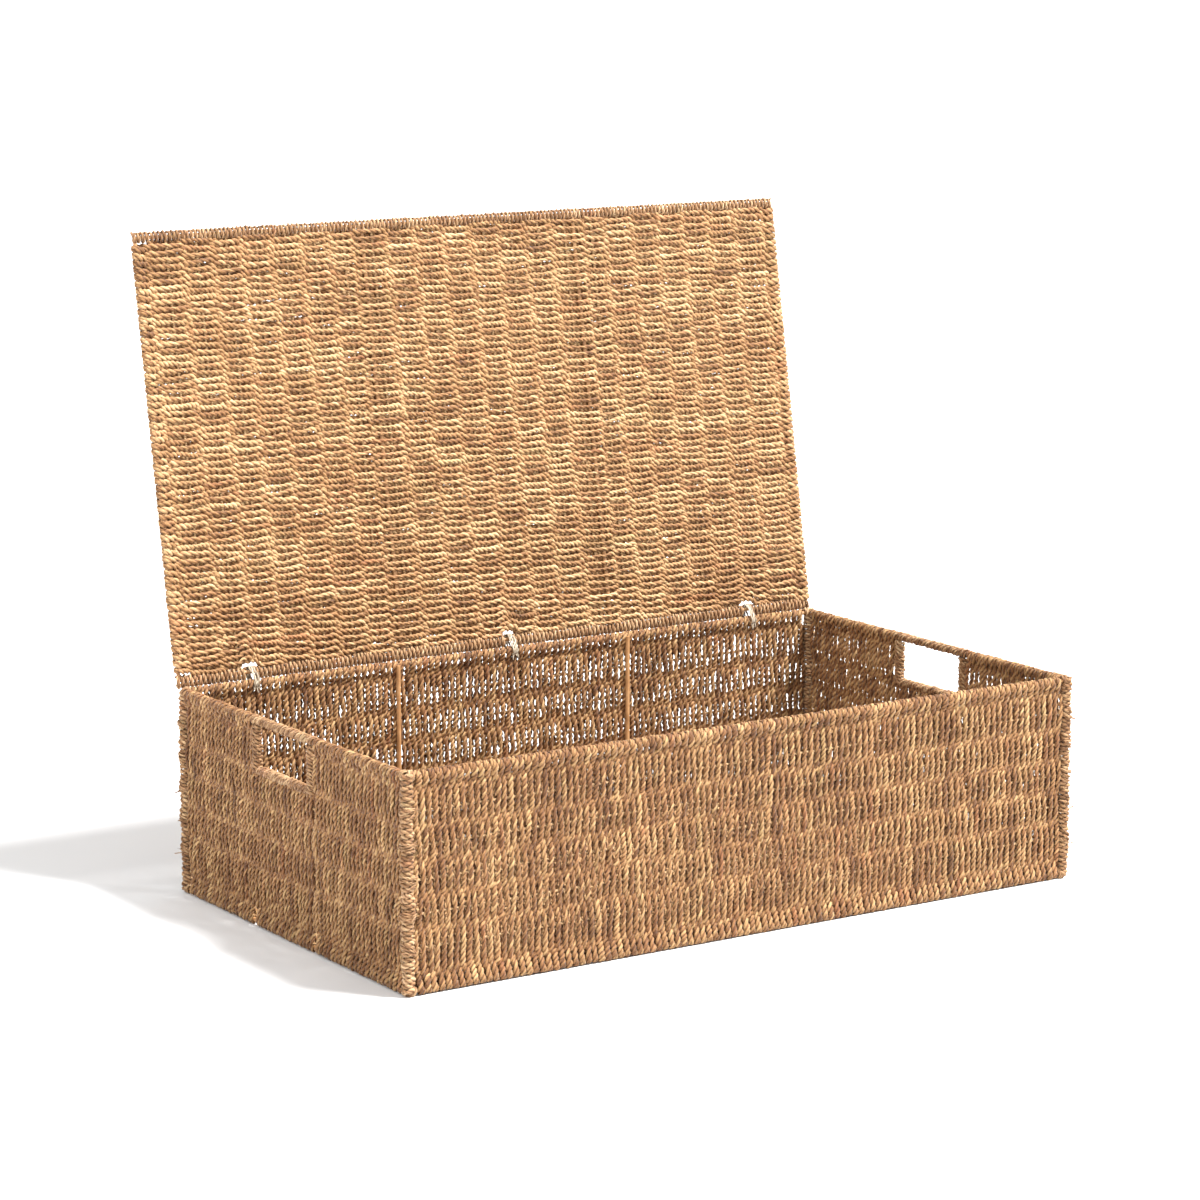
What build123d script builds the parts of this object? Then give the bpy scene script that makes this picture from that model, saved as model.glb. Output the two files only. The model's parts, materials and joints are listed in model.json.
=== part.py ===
"""Long, low storage basket of woven seagrass cord on a welded wire frame.

The basket stands on z = 0 with the middle of its underside at the origin.
Its long walls run along X, its front is at -Y and its lid hinges along the back
rim on three tape ties. The lid is drawn closed and then swung open to its stop.
Every woven panel is a closed slab with channels for the wires inside it.
"""
from build123d import *
import os

# Basket, outside sizes
basket_width = 700.0
basket_depth = 400.0
basket_height = 189.0
weave_thickness = 9.0

# Wires of the frame, and the thin warps that the seagrass cord crosses
wire_radius = 1.8
post_radius = 2.0
warp_radius = 1.1
wire_bend = 3.0
channel_clearance = 0.1
wall_warp_count = 5
first_warp_depth = 34.5
wall_warp_pitch = 28.7
floor_warp_count = 22
inner_post_x = 127.0

# Handle hole in each short wall; the left one sits a little behind the middle
hole_length = 85.0
hole_middle_y = {-1: 11.0, 1: 0.0}
hole_bottom_depth = 44.5
hole_corner_radius = 8.0
side_binding_width = 12.0
sill_binding_height = 8.0
binding_gap = 0.2

# Cord wound round the corners, and the knots that tie the warps to it
corner_radius = 4.5
knot_radius = 5.2
knot_height = 4.0
knot_seat_radius = 3.5

# Lid
lid_width = 702.0
lid_depth = 404.0
lid_roll_radius = 4.2
lid_open_angle = 100.0
lid_cross_wire_x = 115.6
hinge_behind_middle = 203.0
hinge_above_rim = 4.6

# Tape ties that hinge the lid to the back rim
tie_spacing = 275.0
tie_width = 8.0
tie_thickness = 0.8
tie_play = 0.3
tie_window_width = 10.4
tie_window_depth = 12.0

# Places worked out from the sizes above
edge_inset = weave_thickness / 2
frame_x = basket_width / 2 - edge_inset
frame_y = basket_depth / 2 - edge_inset
rim_z = basket_height - edge_inset
floor_z = edge_inset
panel_end_x = frame_x - knot_radius - binding_gap
panel_end_y = frame_y - knot_radius - binding_gap
inner_post_y = frame_y - wire_radius - post_radius
warp_levels = [
    basket_height - first_warp_depth - row * wall_warp_pitch
    for row in range(wall_warp_count)
]
hinge_z = basket_height + hinge_above_rim
lid_edge_x = lid_width / 2 - lid_roll_radius
lid_front_y = hinge_behind_middle + 2 * lid_roll_radius - lid_depth
lid_panel_back_y = hinge_behind_middle - lid_roll_radius - binding_gap
lid_panel_front_y = lid_front_y + lid_roll_radius + binding_gap
handle_side_y = (hole_length + side_binding_width) / 2
handle_sill_z = basket_height - hole_bottom_depth - sill_binding_height / 2
handle_outer_y = hole_length / 2 + side_binding_width

corners = {
    "front_left": (-frame_x, -frame_y),
    "front_right": (frame_x, -frame_y),
    "back_left": (-frame_x, frame_y),
    "back_right": (frame_x, frame_y),
}
tie_places = {"left": -tie_spacing, "middle": 0.0, "right": tie_spacing}
sides = {"left": -1, "right": 1}


def rod(start, end, radius):
    """A straight round wire between two points."""
    line = Vector(*end) - Vector(*start)
    ends = (Align.CENTER, Align.CENTER, Align.MIN)
    return Plane(origin=start, z_dir=line) * Cylinder(radius, line.length, align=ends)


def block(low, high):
    """A box between its lowest and its highest corner."""
    size = Vector(*high) - Vector(*low)
    middle = (Vector(*high) + Vector(*low)) * 0.5
    return Pos(*middle) * Box(*size)


def bent_wire(points, radius):
    """A wire bent through level or upright points with tight corners."""
    path = FilletPolyline(*points, radius=wire_bend)
    section = Plane(origin=path @ 0, z_dir=path % 0) * Circle(radius)
    return sweep(section, path=path)


def ring_wire(half_x, low_y, high_y, height, radius):
    """A level rectangle of wire, drawn from the middle of its front side."""
    points = [
        (0, low_y, height),
        (half_x, low_y, height),
        (half_x, high_y, height),
        (-half_x, high_y, height),
        (-half_x, low_y, height),
        (-1, low_y, height),
    ]
    gap = rod((-1.5, low_y, height), (0.5, low_y, height), radius)
    return bent_wire(points, radius) + gap


def rim_ring(height, radius):
    """One of the two rings that the walls hang between."""
    return ring_wire(frame_x, -frame_y, frame_y, height, radius)


def corner_post(corner, radius):
    """An upright that joins the two rings at a corner."""
    x, y = corners[corner]
    return rod((x, y, floor_z), (x, y, rim_z), radius)


def inner_posts(facing, radius):
    """Two uprights on the inner side of a long wall, tucked behind the rings."""
    y = facing * inner_post_y
    return [
        rod((x, y, floor_z), (x, y, rim_z), radius) for x in (-inner_post_x, inner_post_x)
    ]


def base_cross_wires(radius):
    """Wires under the floor that join the inner posts front to back."""
    return [
        rod((x, -inner_post_y, floor_z), (x, inner_post_y, floor_z), radius)
        for x in (-inner_post_x, inner_post_x)
    ]


def handle_frame(side, radius):
    """A wire stirrup that hangs from the rim and frames the handle hole."""
    x = side * frame_x
    front = hole_middle_y[side] - handle_side_y
    back = hole_middle_y[side] + handle_side_y
    top = rim_z - wire_radius
    points = [
        (x, front, top),
        (x, front, handle_sill_z),
        (x, back, handle_sill_z),
        (x, back, top),
    ]
    return bent_wire(points, radius)


def long_wall_warps(facing, radius):
    """Level warps of the front or back wall, from corner knot to corner knot."""
    y = facing * frame_y
    end = frame_x - knot_radius
    return [rod((-end, y, z), (end, y, z), radius) for z in warp_levels]


def short_wall_warps(side, radius):
    """Level warps of a short wall; the highest one stops at the handle frame."""
    x = side * frame_x
    end = frame_y - knot_radius
    middle = hole_middle_y[side]
    inner = handle_side_y + wire_radius
    top = warp_levels[0]
    warps = [rod((x, -end, z), (x, end, z), radius) for z in warp_levels[1:]]
    warps.append(rod((x, -end, top), (x, middle - inner, top), radius))
    warps.append(rod((x, middle + inner, top), (x, end, top), radius))
    return warps


def spread_places(half_width, count):
    """Even places between two edges, without the edges themselves."""
    pitch = 2 * half_width / (count + 1)
    return [-half_width + pitch * (number + 1) for number in range(count)]


def base_warps(radius):
    """Warps of the floor, from the front of the bottom ring to its back."""
    end = frame_y - wire_radius
    return [
        rod((x, -end, floor_z), (x, end, floor_z), radius)
        for x in spread_places(frame_x, floor_warp_count)
    ]


def wall_panel(low, high, along):
    """A woven wall with its top and bottom edges rolled over the rings."""
    panel = block(low, high)
    return fillet(panel.edges().filter_by(along), edge_inset - binding_gap)


def tie_loop(x, width, slack):
    """Tape looped round the rim roll and the roll at the back of the lid."""
    def hull(extra):
        rim_circle = Pos(frame_y, rim_z) * Circle(edge_inset + extra)
        lid_circle = Pos(hinge_behind_middle, hinge_z) * Circle(lid_roll_radius + extra)
        return make_hull(rim_circle.edges() + lid_circle.edges())

    band = hull(tie_play + tie_thickness + slack) - hull(tie_play - slack)
    upright = Plane(origin=(x - width / 2, 0, 0), x_dir=(0, 1, 0), z_dir=(1, 0, 0))
    return extrude(upright * band, width)


def long_wall_weave(facing):
    """Woven front or back wall, with slots for the ties in the back one."""
    inner = facing * (basket_depth / 2 - weave_thickness)
    outer = facing * basket_depth / 2
    low = (-panel_end_x, min(inner, outer), 0)
    high = (panel_end_x, max(inner, outer), basket_height)
    grown = channel_clearance
    cuts = [rim_ring(rim_z, wire_radius + grown), rim_ring(floor_z, wire_radius + grown)]
    cuts += long_wall_warps(facing, warp_radius + grown)
    cuts += inner_posts(facing, post_radius + grown)
    cuts += base_warps(warp_radius + grown) + base_cross_wires(wire_radius + grown)
    if facing > 0:
        slot_width = tie_width + 2 * binding_gap
        cuts += [tie_loop(x, slot_width, binding_gap) for x in tie_places.values()]
    return wall_panel(low, high, Axis.X) - cuts


def short_wall_weave(side):
    """Woven short wall, left open where the bound handle hole sits."""
    inner = side * (basket_width / 2 - weave_thickness)
    outer = side * basket_width / 2
    low_x, high_x = min(inner, outer), max(inner, outer)
    low = (low_x, -panel_end_y, 0)
    high = (high_x, panel_end_y, basket_height)
    middle = hole_middle_y[side]
    half = handle_outer_y + binding_gap
    opening_z = handle_sill_z - sill_binding_height / 2 - binding_gap
    opening = block(
        (low_x - 1, middle - half, opening_z),
        (high_x + 1, middle + half, basket_height + 1),
    )
    grown = channel_clearance
    cuts = [opening, rim_ring(rim_z, wire_radius + grown), rim_ring(floor_z, wire_radius + grown)]
    cuts += short_wall_warps(side, warp_radius + grown)
    return wall_panel(low, high, Axis.Y) - cuts


def base_weave():
    """Woven floor; its underside is what the basket stands on."""
    floor = block((-panel_end_x, -panel_end_y, 0), (panel_end_x, panel_end_y, weave_thickness))
    grown = channel_clearance
    cuts = base_warps(warp_radius + grown) + base_cross_wires(wire_radius + grown)
    cuts += inner_posts(-1, post_radius + grown) + inner_posts(1, post_radius + grown)
    return floor - cuts


def handle_grip_binding(side):
    """Cord wound round the rim wire above the hole, where the hand holds."""
    x = side * frame_x
    middle = hole_middle_y[side]
    front, back = middle - handle_outer_y, middle + handle_outer_y
    roll = rod((x, front, rim_z), (x, back, rim_z), edge_inset)
    cuts = [
        rim_ring(rim_z, wire_radius + channel_clearance),
        handle_frame(side, wire_radius + channel_clearance),
    ]
    return roll - cuts


def handle_surround(side):
    """Outline of the bound edge under and beside the handle hole, as one slab."""
    top = rim_z - edge_inset - binding_gap
    bottom = handle_sill_z - sill_binding_height / 2
    low_x = side * frame_x - edge_inset
    high_x = low_x + weave_thickness
    middle = hole_middle_y[side]
    slab = block(
        (low_x, middle - handle_outer_y, bottom),
        (high_x, middle + handle_outer_y, top),
    )
    hole = block(
        (low_x - 1, middle - hole_length / 2, basket_height - hole_bottom_depth),
        (high_x + 1, middle + hole_length / 2, top + hole_corner_radius),
    )
    lower_edges = hole.edges().filter_by(Axis.X).group_by(Axis.Z)[0]
    hole = fillet(lower_edges, hole_corner_radius)
    return slab - hole


def handle_side_bindings(side):
    """Cord wound round both upright sides of the handle frame."""
    surround = handle_surround(side)
    cuts = [handle_frame(side, wire_radius + channel_clearance)]
    cuts += short_wall_warps(side, warp_radius + channel_clearance)
    middle = hole_middle_y[side]
    end = hole_length / 2 - hole_corner_radius
    reach = 2 * basket_height
    x = side * frame_x
    halves = []
    for facing in (-1, 1):
        low_y, high_y = sorted((middle + facing * end, middle + facing * reach))
        half = block((x - reach, low_y, 0), (x + reach, high_y, reach))
        halves.append((surround & half) - cuts)
    return halves


def handle_sill_binding(side):
    """Cord wound round the lower bar of the handle frame."""
    x = side * frame_x
    middle = hole_middle_y[side]
    end = hole_length / 2 - hole_corner_radius - binding_gap
    low, high = (x, middle - end, handle_sill_z), (x, middle + end, handle_sill_z)
    roll = rod(low, high, sill_binding_height / 2)
    return roll - handle_frame(side, wire_radius + channel_clearance)


def corner_binding(corner):
    """Cord wound round a corner post from floor to rim, with seats for the knots."""
    x, y = corners[corner]
    winding = rod((x, y, 0), (x, y, basket_height), corner_radius)
    cuts = [rim_ring(rim_z, wire_radius + channel_clearance)]
    cuts.append(rim_ring(floor_z, wire_radius + channel_clearance))
    cuts.append(corner_post(corner, wire_radius + channel_clearance))
    seat_half = knot_height / 2 + channel_clearance
    for z in warp_levels:
        seat = rod((x, y, z - seat_half), (x, y, z + seat_half), knot_radius + 1)
        core = rod((x, y, z - seat_half), (x, y, z + seat_half), knot_seat_radius)
        cuts.append(seat - core)
    return winding - cuts


def corner_knots():
    """Lashings that tie each warp to each corner."""
    knots = []
    for x, y in corners.values():
        for z in warp_levels:
            low, high = (x, y, z - knot_height / 2), (x, y, z + knot_height / 2)
            bore = rod(low, high, knot_seat_radius + channel_clearance)
            knots.append(rod(low, high, knot_radius) - bore)
    return knots


def lid_ring(radius):
    """Outer wire of the lid; its back side is the hinge line."""
    return ring_wire(lid_edge_x, lid_front_y, hinge_behind_middle, hinge_z, radius)


def lid_lines(places, radius):
    """Straight wires or warps across the lid, from its back wire to its front one."""
    front = lid_front_y + wire_radius
    back = hinge_behind_middle - wire_radius
    return [rod((x, front, hinge_z), (x, back, hinge_z), radius) for x in places]


def lid_cross_wires(radius):
    """Two stiffening wires at the thirds of the lid."""
    return lid_lines((-lid_cross_wire_x, lid_cross_wire_x), radius)


def lid_warps(radius):
    """Thin warps of the lid."""
    return lid_lines(spread_places(lid_edge_x, floor_warp_count), radius)


def lid_channels():
    """Room for all the wires of the lid."""
    grown = channel_clearance
    cuts = [lid_ring(wire_radius + grown)]
    return cuts + lid_cross_wires(wire_radius + grown) + lid_warps(warp_radius + grown)


def lid_weave():
    """Woven lid panel with a window at each tie."""
    low = (-lid_width / 2, lid_panel_front_y, hinge_z - lid_roll_radius)
    high = (lid_width / 2, lid_panel_back_y, hinge_z + lid_roll_radius)
    panel = block(low, high)
    panel = fillet(panel.edges().filter_by(Axis.Y), lid_roll_radius - binding_gap)
    windows = [
        block(
            (x - tie_window_width / 2, hinge_behind_middle - tie_window_depth, low[2] - 1),
            (x + tie_window_width / 2, hinge_behind_middle, high[2] + 1),
        )
        for x in tie_places.values()
    ]
    return panel - (windows + lid_channels())


def lid_binding(y):
    """Cord stitched over the front or back wire of the lid."""
    end = lid_width / 2
    roll = rod((-end, y, hinge_z), (end, y, hinge_z), lid_roll_radius)
    return roll - lid_channels()


def basket_nodes():
    """Everything that stands still."""
    nodes = {
        "top_rim_wire": rim_ring(rim_z, wire_radius),
        "bottom_rim_wire": rim_ring(floor_z, wire_radius),
        "front_wall_posts": inner_posts(-1, post_radius),
        "back_wall_posts": inner_posts(1, post_radius),
        "front_wall_warps": long_wall_warps(-1, warp_radius),
        "back_wall_warps": long_wall_warps(1, warp_radius),
        "front_wall_weave": long_wall_weave(-1),
        "back_wall_weave": long_wall_weave(1),
        "base_warps": base_warps(warp_radius),
        "base_weave": base_weave(),
        "corner_knots": corner_knots(),
    }
    rings = [nodes["top_rim_wire"], nodes["bottom_rim_wire"]]
    posts = nodes["front_wall_posts"] + nodes["back_wall_posts"]
    nodes["base_cross_wires"] = [wire - posts for wire in base_cross_wires(wire_radius)]
    for corner in corners:
        nodes["corner_post_" + corner] = corner_post(corner, wire_radius) - rings
        nodes["corner_binding_" + corner] = corner_binding(corner)
    for name, side in sides.items():
        nodes[name + "_handle_frame"] = handle_frame(side, wire_radius)
        nodes[name + "_wall_warps"] = short_wall_warps(side, warp_radius)
        nodes[name + "_wall_weave"] = short_wall_weave(side)
        nodes[name + "_handle_grip_binding"] = handle_grip_binding(side)
        nodes[name + "_handle_side_bindings"] = handle_side_bindings(side)
        nodes[name + "_handle_sill_binding"] = handle_sill_binding(side)
    for name, x in tie_places.items():
        nodes["hinge_tie_" + name] = tie_loop(x, tie_width, 0)
    return nodes


def lid_nodes():
    """Everything that swings with the lid, in its closed place."""
    return {
        "lid_frame_wire": lid_ring(wire_radius),
        "lid_cross_wires": lid_cross_wires(wire_radius),
        "lid_warps": lid_warps(warp_radius),
        "lid_weave": lid_weave(),
        "lid_front_binding": lid_binding(lid_front_y),
        "lid_back_binding": lid_binding(hinge_behind_middle),
    }


def as_shape(pieces):
    """One shape for a node, whether it holds one solid or a group."""
    if isinstance(pieces, list):
        return Compound([solid for piece in pieces for solid in piece.solids()])
    return Compound(pieces.solids())


def main():
    os.makedirs("parts", exist_ok=True)
    hinge = Axis((0, hinge_behind_middle, hinge_z), (1, 0, 0))
    for name, pieces in basket_nodes().items():
        export_step(as_shape(pieces), f"parts/{name}.step")
    for name, pieces in lid_nodes().items():
        opened = as_shape(pieces).rotate(hinge, -lid_open_angle)
        export_step(opened, f"parts/{name}.step")


main()
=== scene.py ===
import json
import math

import bpy
import numpy as np
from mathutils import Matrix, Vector


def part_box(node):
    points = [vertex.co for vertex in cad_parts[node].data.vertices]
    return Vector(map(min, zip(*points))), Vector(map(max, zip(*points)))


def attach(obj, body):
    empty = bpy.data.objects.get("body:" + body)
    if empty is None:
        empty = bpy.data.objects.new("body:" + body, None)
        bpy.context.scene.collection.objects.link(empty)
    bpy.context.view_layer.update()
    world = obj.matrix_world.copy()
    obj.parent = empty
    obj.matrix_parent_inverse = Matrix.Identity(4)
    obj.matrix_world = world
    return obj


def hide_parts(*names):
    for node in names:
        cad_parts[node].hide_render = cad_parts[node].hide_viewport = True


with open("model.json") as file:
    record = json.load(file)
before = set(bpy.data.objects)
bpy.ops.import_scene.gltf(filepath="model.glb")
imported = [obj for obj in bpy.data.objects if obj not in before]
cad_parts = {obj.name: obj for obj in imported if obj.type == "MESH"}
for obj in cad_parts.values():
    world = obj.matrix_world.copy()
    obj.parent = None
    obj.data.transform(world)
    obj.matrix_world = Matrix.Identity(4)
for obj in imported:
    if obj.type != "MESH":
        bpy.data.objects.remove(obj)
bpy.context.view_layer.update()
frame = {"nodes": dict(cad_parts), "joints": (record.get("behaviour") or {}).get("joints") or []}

# The scene is one seagrass storage basket. Every woven or wound surface is real
# cord: a two-ply tube that follows the route of the weaver's hand. The wires and
# the thin warps inside the weave are the CAD model's own nodes.

# Cord, in metres: one lay is a full turn of its two plies
LAY = 0.012
PLY_OFFSET = 0.36
RING_STEP = 0.0016
HIDDEN_RING_STEP = 0.003
CORD_SIDES = 8
HIDDEN_CORD_SIDES = 6
RINGS_PER_PIECE = 12000
FEWEST_RINGS = 10

# Weave: from the middle of one cord to the next, and the numbers of warps
WALL_PITCH = 0.00325
LID_PITCH = 0.00315
FLOOR_PITCH = 0.0034
WALL_WARPS = 5
LID_WARPS = 22

# The woven cord's half width on a panel's outside, on its inside and between two warps,
# and its half depth between two warps
FRONT_WEAVE = (0.0023, 0.0034, 0.0028, 0.0020)
SIDE_WEAVE = (0.0022, 0.0034, 0.0028, 0.0021)
BACK_WEAVE = (0.0034, 0.0023, 0.0030, 0.0020)
LID_WEAVE = (0.0020, 0.0036, 0.0032, 0.0029)

# A pass over a warp: it rises at a shoulder on either side, and no two are quite alike
FLOAT_HALF_DEPTH = 0.0016
SHOULDER = 0.0055
SHOULDER_REACH = 0.76
SHOULDER_RANGE = (0.8, 1.25)
WIDTH_RANGE = (0.9, 1.15)
PRESS_RANGE = (0.65, 0.9)
PASS_WANDER = 0.0002
PASS_LEAN = 0.0004
DRIFT_SPACING = 0.035
DRIFT_AMOUNT = 0.0007
DRIFT_GRID = 64

# Turns at a panel's edge
TUCK = 0.3
TURN_HALF_DEPTH = 0.0019
TURN_START = 0.2
WRAP_HALF_WIDTH = 0.002
WRAP_HALF_DEPTH = 0.0014
WRAP_SPREAD_AT_ENDS = 0.0009
WRAP_TURNS = 1.5
WRAP_KEYS = 13
WRAP_TIGHTNESS = (0.92, 1.0)
WRAP_SPREAD = (0.75, 1.25)

# Windings, stitches and knots
KEYS_PER_TURN = 12
BINDING_PITCH = 0.0033
POST_PITCH = 0.0045
POST_FOOT = 0.0025
POST_THICKNESS = 1.3
CORNER_SLACK = 0.0005
POST_SLACK = 0.0004
SIDE_BINDING_FOOT = 0.0015
STITCH_PITCH = 0.0044
STITCH_PAST_WIRE = 0.006
STITCH_TOWARDS_RIM = 0.0077
STITCH_OVER_WEAVE = 0.0055
BOLSTER_AT = -0.0044
BOLSTER_HALF_WIDTH = 0.0022
BOLSTER_KEYS = 30
KNOT_HEIGHTS = (0.003, 0.009)
LOOSE_END_LENGTHS = (0.003, 0.007)

# Ties
TIE_HALF_WIDTH = 0.0046
TIE_STRANDS = 3
TIE_SPREAD = 0.0019
TIE_STRAND_HALF_WIDTH = 0.0013
TIE_STRAND_HALF_DEPTH = 0.0005
TIE_RING_STEP = 0.001
TIE_ROUTE_PLACES = 27
TIE_ROOM = 0.0077
TIE_ROOM_FADE = 0.016

# Stray fibres
FIBRES = {"basket": 3000, "lid": 2600}
FIBRE_HALF_WIDTH = 0.00026
FIBRE_LENGTHS = (0.003, 0.011)
FIBRE_RING_STEP = 0.0012

# Straw from its darkest to its palest: (place, sRGB colour)
WALL_STRAW = (
    (0.0, (52, 28, 12)), (0.25, (116, 78, 45)), (0.55, (155, 117, 77)), (1.0, (214, 184, 138)),
)
# The lid's straw is the wall's straw made paler: painted light, for the lid that leans up towards
# the lamp.
LID_STRAW_WITH_PAINTED_LIGHT = (
    (0.0, (66, 38, 18)), (0.25, (142, 103, 64)), (0.55, (180, 143, 101)), (1.0, (228, 204, 164)),
)
BINDING_STRAW = (
    (0.0, (84, 52, 28)), (0.3, (140, 104, 70)), (0.6, (174, 140, 104)), (1.0, (220, 196, 162)),
)
TIE_STRAW = (
    (0.0, (118, 104, 84)), (0.3, (158, 144, 122)), (0.6, (182, 170, 150)), (1.0, (214, 205, 188)),
)
STRAW_TINT = (
    (0.0, (206, 206, 160)), (0.15, (226, 210, 178)),
    (0.85, (232, 208, 176)), (1.0, (236, 178, 136)),
)
# Painted shade in the groove between the two plies of a cord, from none to the darkest
GROOVE_SHADOW = ((0.15, (255, 255, 255)), (1.0, (148, 118, 92)))
WIRE_COAT = ((0.3, (142, 100, 62)), (0.55, (184, 138, 92)), (0.75, (206, 166, 120)))
WARP_CORD = ((0.1, (140, 102, 64)), (0.9, (206, 172, 128)))

# Lamps: azimuth, elevation, strength and softness, with the angles in degrees
KEY_LAMP = (46, 60, 3.7, 14)
FILL_LAMP = (-62, 32, 0.5, 40)
WORLD_LIGHT = 0.4
EXPOSURE = 1.33
FLOOR_SIZE = 400
FLOOR_GREY = 0.7

# Camera
CAMERA_AZIMUTH = -33.29
CAMERA_ELEVATION = 10.63
CAMERA_DISTANCE = 3.353
CAMERA_TARGET = (-0.0305, 0.0, 0.2662)
CAMERA_LENS = 113.04
SENSOR_WIDTH = 36.0

random = np.random.default_rng(20)
cords_on = {"basket": [], "lid": []}


# ---------------------------------------------------------------- cord meshes

class Cord:
    """A cord sampled as rings: middle, half width, half depth and length so far."""

    def __init__(self, keys, side, step=RING_STEP, sides=CORD_SIDES, placed=None):
        rows = smooth_rows(keys, step)
        if placed:
            rows = placed(rows)
        self.place = rows[:, :3]
        self.side = np.array(side, float)
        self.sides = sides
        gaps = np.linalg.norm(np.diff(self.place, axis=0), axis=1)
        self.along = np.concatenate([[0], np.cumsum(gaps)])
        thickness = 0.86 + 0.28 * wandering(self.along, 0.012)
        self.half_width = rows[:, 3] * thickness
        self.half_depth = rows[:, 4] * thickness
        self.twist = twist_along(self.along)
        self.tones = [wandering(self.along, 0.03) for _ in range(2)]
        self.shade = wandering(self.along, 0.2)
        self.hue = wandering(self.along, 0.06)

    def part(self, first, last):
        """The stretch between two rings, as another cord with the same look."""
        piece = object.__new__(Cord)
        piece.side = self.side
        piece.sides = self.sides
        cut = slice(first, last)
        for name in ("place", "half_width", "half_depth", "along", "twist", "shade", "hue"):
            setattr(piece, name, getattr(self, name)[cut])
        piece.tones = [tone[cut] for tone in self.tones]
        return piece


def smooth_rows(keys, step):
    """Rows along a smooth curve through the key rows; a row starts with its place."""
    keys = np.asarray(keys, float)
    steps = np.diff(keys, axis=0)
    gaps = np.linalg.norm(steps[:, :3], axis=1)
    slopes = steps / gaps[:, None]
    tangents = np.concatenate([slopes[:1], slopes])
    before = gaps[:-1, None]
    after = gaps[1:, None]
    tangents[1:-1] = (slopes[:-1] * after + slopes[1:] * before) / (before + after)
    counts = np.maximum(1, np.round(gaps / step)).astype(int)
    which = np.repeat(np.arange(len(gaps)), counts)
    starts = np.cumsum(counts) - counts
    t = ((np.arange(counts.sum()) - starts[which]) / counts[which])[:, None]
    h = gaps[which, None]
    rows = (
        (2 * t**3 - 3 * t**2 + 1) * keys[which]
        + (t**3 - 2 * t**2 + t) * h * tangents[which]
        + (3 * t**2 - 2 * t**3) * keys[which + 1]
        + (t**3 - t**2) * h * tangents[which + 1]
    )
    return np.concatenate([rows, keys[-1:]])


def wandering(along, spacing):
    """A value between 0 and 1 that drifts along a cord."""
    count = int(along[-1] / spacing) + 3
    offset = random.uniform(0, 1)
    return np.interp(along / spacing + offset, np.arange(count), random.uniform(0, 1, count))


def twist_along(along):
    """Angle of the two plies along a cord, with a lay that is never quite even."""
    speed = 2 * math.pi / (LAY * (0.65 + 0.7 * wandering(along, 0.04)))
    steps = np.diff(along, prepend=along[0])
    return random.uniform(0, 2 * math.pi) + np.cumsum(speed * steps)


def ply_outline(sides):
    """Angles round a cord from the crest of one ply, and the outline's reach at each."""
    angle = np.arange(sides) * 2 * math.pi / sides
    ply_radius = 1 - PLY_OFFSET
    reach = PLY_OFFSET * np.abs(np.cos(angle))
    return angle, reach + np.sqrt(ply_radius**2 - (PLY_OFFSET * np.sin(angle)) ** 2)


def cord_surface(cord):
    """Points, fibre directions and tones of a cord's rings, each shaped (ring, side, 3); the tones
    carry tone, hue and a mask of painted shade in the groove between the plies.
    """
    tangent = np.gradient(cord.place, axis=0)
    tangent /= np.linalg.norm(tangent, axis=1, keepdims=True)
    across = cord.side - (tangent @ cord.side)[:, None] * tangent
    across /= np.linalg.norm(across, axis=1, keepdims=True)
    outward = np.cross(tangent, across)
    angle, reach = ply_outline(cord.sides)
    turned = angle[None, :] + cord.twist[:, None]
    wide = reach * np.cos(turned) * cord.half_width[:, None]
    deep = reach * np.sin(turned) * cord.half_depth[:, None]
    points = (
        cord.place[:, None]
        + wide[:, :, None] * across[:, None]
        + deep[:, :, None] * outward[:, None]
    )
    length = np.repeat(cord.along[:, None], cord.sides, axis=1)
    round_cord = np.broadcast_to(angle, length.shape)
    fibre = np.stack([length * 1000, np.cos(round_cord), np.sin(round_cord)], axis=2)
    first_ply = np.clip(0.5 + 1.5 * np.cos(angle), 0, 1)
    ply_tone = first_ply * cord.tones[0][:, None] + (1 - first_ply) * cord.tones[1][:, None]
    tone = 0.12 + 0.56 * ply_tone + 0.2 * cord.shade[:, None]
    hue = np.repeat(cord.hue[:, None], cord.sides, axis=1)
    # Painted shade: a mask that is 1 in the groove between the two plies, where shade falls
    groove = np.broadcast_to((1 - np.abs(np.cos(angle))) ** 2, length.shape)
    return points, fibre, np.stack([tone, hue, groove], axis=2)


def tube_faces(rings, sides, first_vertex):
    """Corner indices of the quads round a tube, shaped (face, 4), with its two end faces."""
    ring, side = np.meshgrid(np.arange(rings - 1), np.arange(sides), indexing="ij")
    following = (side + 1) % sides
    quads = np.stack(
        [
            ring * sides + side,
            ring * sides + following,
            (ring + 1) * sides + following,
            (ring + 1) * sides + side,
        ],
        axis=2,
    ).reshape(-1, 4)
    start = np.arange(sides)[::-1]
    end = (rings - 1) * sides + np.arange(sides)
    return quads + first_vertex, [start + first_vertex, end + first_vertex]


def strip_map(lengths, sides):
    """Bake map of many tubes: strips of equal height, laid side by side like ruled lines."""
    total = sum(lengths)
    ruled = max(1, math.ceil(math.sqrt(total / (sides * 0.9))))
    per_line = math.ceil(total / ruled)
    height = 1 / (ruled + 1)
    segment = np.arange(total)
    left = (segment % per_line) / per_line
    low = (segment // per_line) * height
    side = np.arange(sides)
    across = left[:, None, None] + np.array([0, 0, 1, 1]) / per_line
    u = np.broadcast_to(across, (total, sides, 4))
    span = (side[:, None] + np.array([0, 1, 1, 0])) / sides
    v = low[:, None, None] + height * (0.06 + 0.88 * span)[None]
    return np.stack([u, v], axis=3).reshape(-1, 2), height


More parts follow.
